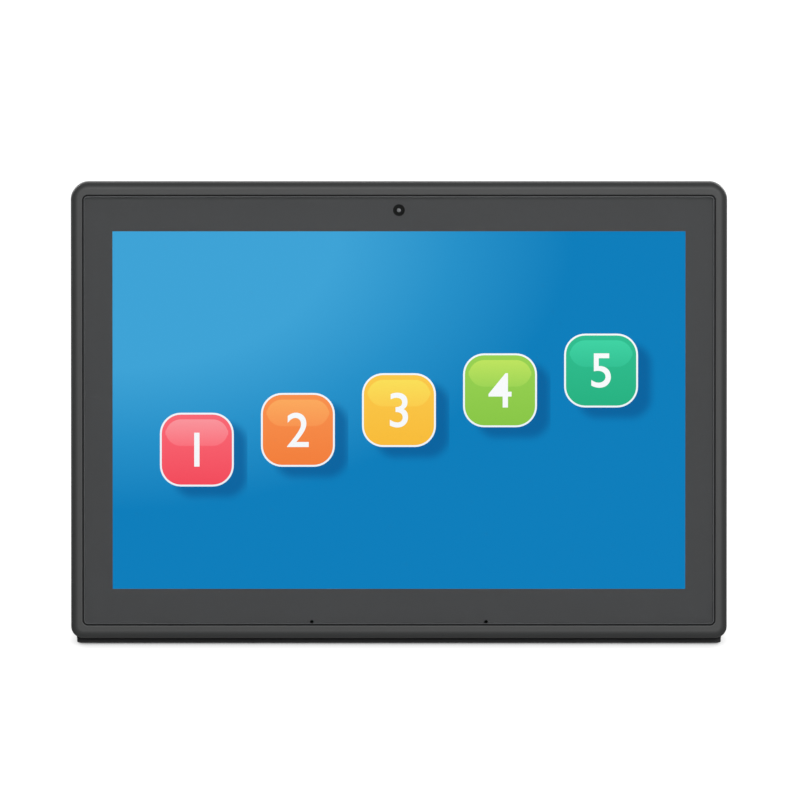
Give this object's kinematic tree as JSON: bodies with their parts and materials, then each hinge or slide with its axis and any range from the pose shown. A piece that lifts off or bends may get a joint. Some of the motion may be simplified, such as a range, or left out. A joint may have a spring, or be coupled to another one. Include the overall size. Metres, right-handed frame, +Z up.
{
  "type": "customer feedback tablet",
  "caption": "L-shaped counter tablet: leaning touch display behind one sheet of glass in a thin moulded frame, on a hollow foot with rear ports and keys.",
  "frame": {"origin": "under the middle of the body, on the counter that the rubber feet stand on", "axes": "+Z up, the leaning face looks along -Y and upwards, +X is right as seen from the front"},
  "size_m": [0.2486, 0.095, 0.1724],
  "materials": {
    "frame_plastic": "fine moulded texture",
    "shell_plastic": "fine moulded texture",
    "base_plastic": "moulded texture",
    "cover_glass": "polished",
    "border_print": "screen print behind glass",
    "adhesive_foam": "closed-cell foam",
    "touch_film": "clear laminate",
    "display_picture": "lit picture",
    "light_guide": "clear acrylic with white dots",
    "sheet_steel": "bright zinc",
    "brass": "turned",
    "black_plastic": "moulded",
    "lens_glass": "coated lens",
    "circuit_board": "green solder mask",
    "black_screw": "black zinc",
    "bright_screw": "bright zinc",
    "foot_rubber": "matte",
    "chip_epoxy": "moulded epoxy",
    "socket_nylon": "moulded nylon",
    "thermal_pad": "soft silicone",
    "heat_sink_aluminium": "extruded",
    "port_steel": "nickel plated",
    "gold_contact": "gold plated",
    "white_plastic": "moulded",
    "speaker_paper": "pressed paper",
    "ribbon_film": "polyimide film",
    "wire_sleeve": "insulated wire",
    "key_plastic": "fine moulded texture"
  },
  "bodies": {
    "housing": {"front_bezel": "frame_plastic", "cover_glass": "cover_glass", "border_mask": "border_print", "glass_tape": "adhesive_foam", "touch_sensor": "touch_film", "display_gasket": "adhesive_foam", "lcd_cell": "display_picture", "light_guide": "light_guide", "backlight_tray": "sheet_steel", "panel_driver_board": "circuit_board", "display_brackets": "sheet_steel", "bracket_screws": "bright_screw", "bracket_standoffs": "brass", "camera_body": "black_plastic", "camera_lens": "lens_glass", "camera_board": "circuit_board", "microphone_boots": "foot_rubber", "microphone_boards": "circuit_board", "rear_shell": "shell_plastic", "shell_screws": "black_screw", "port_plate": "black_plastic", "base_plate": "base_plastic", "base_screws": "black_screw", "rubber_feet": "foot_rubber", "lock_plate": "sheet_steel", "main_board": "circuit_board", "board_screws": "bright_screw", "board_chips": "chip_epoxy", "board_connectors": "socket_nylon", "thermal_pad": "thermal_pad", "heat_sink": "heat_sink_aluminium", "clock_battery": "sheet_steel", "power_jack": "black_plastic", "power_jack_pin": "port_steel", "network_jack": "port_steel", "network_contacts": "gold_contact", "usb_ports": "port_steel", "usb_tongues": "white_plastic", "usb_c_port": "port_steel", "audio_jack": "black_plastic", "left_speaker": "black_plastic", "right_speaker": "black_plastic", "speaker_cones": "speaker_paper", "speaker_gaskets": "adhesive_foam", "speaker_screws": "bright_screw", "antennas": "ribbon_film", "display_ribbon": "ribbon_film", "touch_ribbon": "ribbon_film", "camera_ribbon": "ribbon_film", "audio_leads": "wire_sleeve", "antenna_leads": "wire_sleeve", "key_switches": "black_plastic"},
    "power_key": {"power_button": "key_plastic", "power_plunger": "white_plastic"},
    "volume_up_key": {"volume_up_button": "key_plastic", "volume_up_plunger": "white_plastic"},
    "volume_down_key": {"volume_down_button": "key_plastic", "volume_down_plunger": "white_plastic"}
  },
  "joints": [
    {"name": "power_press", "type": "slide", "parent": "housing", "child": "power_key", "axis": [0, -1, 0], "range_m": [0, 0.0004], "stiffness_N_per_m": 5000},
    {"name": "volume_up_press", "type": "slide", "parent": "housing", "child": "volume_up_key", "axis": [0, -1, 0], "range_m": [0, 0.0004], "stiffness_N_per_m": 5000},
    {"name": "volume_down_press", "type": "slide", "parent": "housing", "child": "volume_down_key", "axis": [0, -1, 0], "range_m": [0, 0.0004], "stiffness_N_per_m": 5000}
  ]
}
